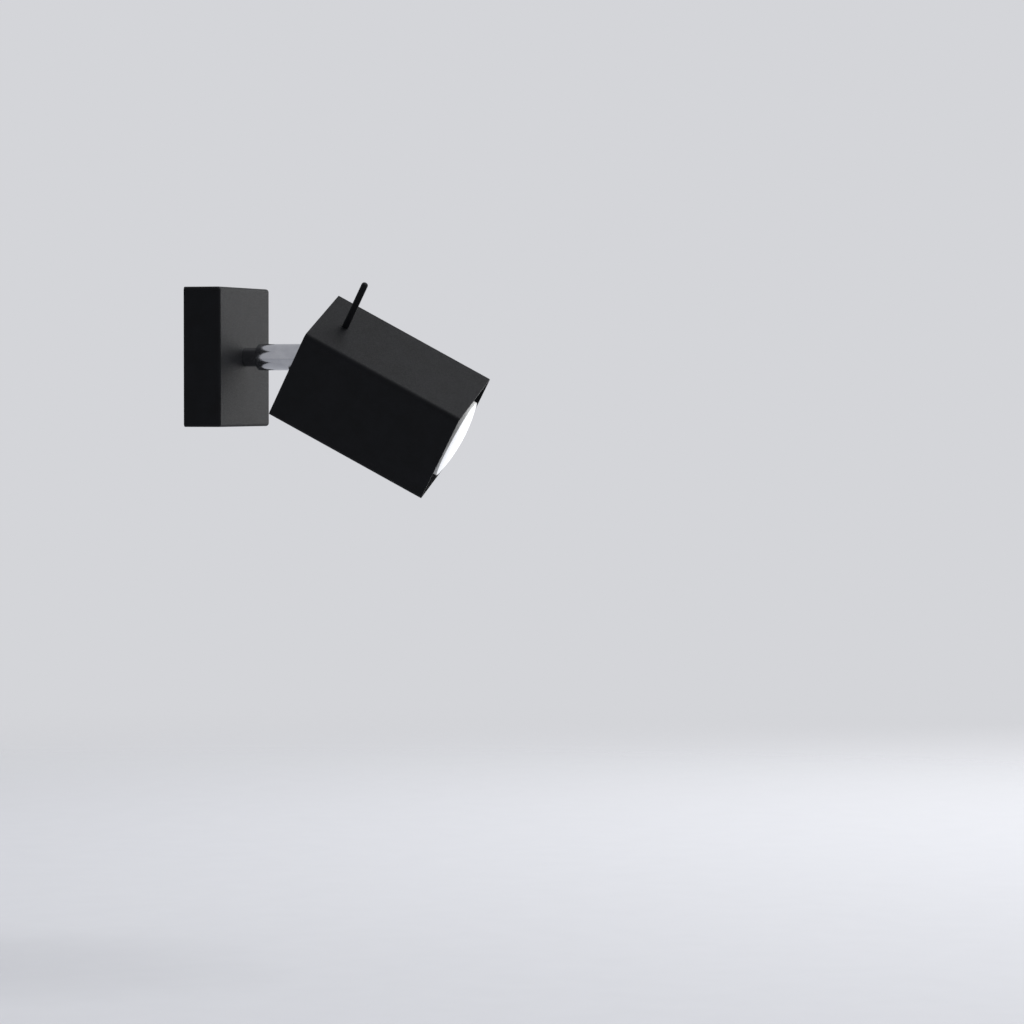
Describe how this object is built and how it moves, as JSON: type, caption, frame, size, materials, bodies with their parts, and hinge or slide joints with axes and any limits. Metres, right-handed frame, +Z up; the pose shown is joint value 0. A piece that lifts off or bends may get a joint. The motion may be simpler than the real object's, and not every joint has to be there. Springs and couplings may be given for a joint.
{
  "type": "pivoting spotlight wall light",
  "caption": "Square wall base with a short polished swivel arm and a square tubular lamp head, open at the rear, aimed by a round handle.",
  "frame": {"origin": "centre of the wall-screw pattern, in the plane of the wall", "axes": "+Z up, +Y into the wall, -Y out into the room, +X along the wall; the head is aimed down and towards +X at rest, as pictured"},
  "size_m": [0.0999, 0.1678, 0.129],
  "materials": {
    "black_coat": "fine matt powder coat",
    "black_screw": "black zinc plating",
    "zinc_steel": "bright zinc-plated sheet steel",
    "polished": "polished nickel plate",
    "spring_steel": "hardened spring steel",
    "brass": "turned brass",
    "terminal_plastic": "moulded polyamide",
    "slip_nylon": "natural nylon",
    "ceramic": "glazed steatite",
    "lamp_white": "moulded white lamp housing",
    "lamp_lens": "frosted lens, lit",
    "lead_sleeve": "silicone rubber insulation"
  },
  "bodies": {
    "wall_base": {"base_cover": "black_coat", "wall_bracket": "zinc_steel", "cover_screws": "black_screw", "terminal_block": "terminal_plastic", "terminal_clamps": "brass", "terminal_screws": "zinc_steel", "block_screw": "zinc_steel", "earth_tag": "brass", "earth_screw": "brass", "neck_stem": "polished", "stem_washer": "spring_steel", "stem_nut": "zinc_steel", "friction_washer": "slip_nylon", "circlip": "spring_steel", "base_leads": "lead_sleeve"},
    "arm_socket": {"socket_barrel": "polished", "barrel_plug": "polished", "disc_springs": "spring_steel", "pressure_cup": "brass"},
    "ball_stud_set": {"ball_stud": "polished", "stud_spring": "spring_steel", "stud_nut": "zinc_steel"},
    "head": {"slip_washer": "slip_nylon", "carrier": "zinc_steel", "head_shell": "black_coat", "aiming_handle": "black_coat", "shell_screw": "black_screw", "holder_bracket": "zinc_steel", "bracket_screws": "zinc_steel", "lampholder": "ceramic", "holder_screws": "zinc_steel", "head_leads": "lead_sleeve"},
    "lamp": {"lamp_body": "lamp_white", "lamp_lens": "lamp_lens", "lamp_pins": "brass"}
  },
  "joints": [
    {"name": "arm_turn", "type": "hinge", "parent": "wall_base", "child": "arm_socket", "pos_m": [0, -0.0641, 0], "axis": [0, -1, 0], "range_deg": [-191.5, 148.5]},
    {"name": "head_tilt", "type": "hinge", "parent": "arm_socket", "child": "ball_stud_set", "pos_m": [0, -0.0641, 0], "axis": [0.9304, 0, 0.3665], "range_deg": [-31.2, 33.8]},
    {"name": "head_spin", "type": "hinge", "parent": "ball_stud_set", "child": "head", "pos_m": [0, -0.0641, 0], "axis": [0.1899, -0.8554, -0.482], "range_deg": [-137.9, 132.1]},
    {"name": "lamp_twist", "type": "hinge", "parent": "head", "child": "lamp", "pos_m": [0, -0.0641, 0], "axis": [0.1899, -0.8554, -0.482], "range_deg": [0, 25]}
  ]
}
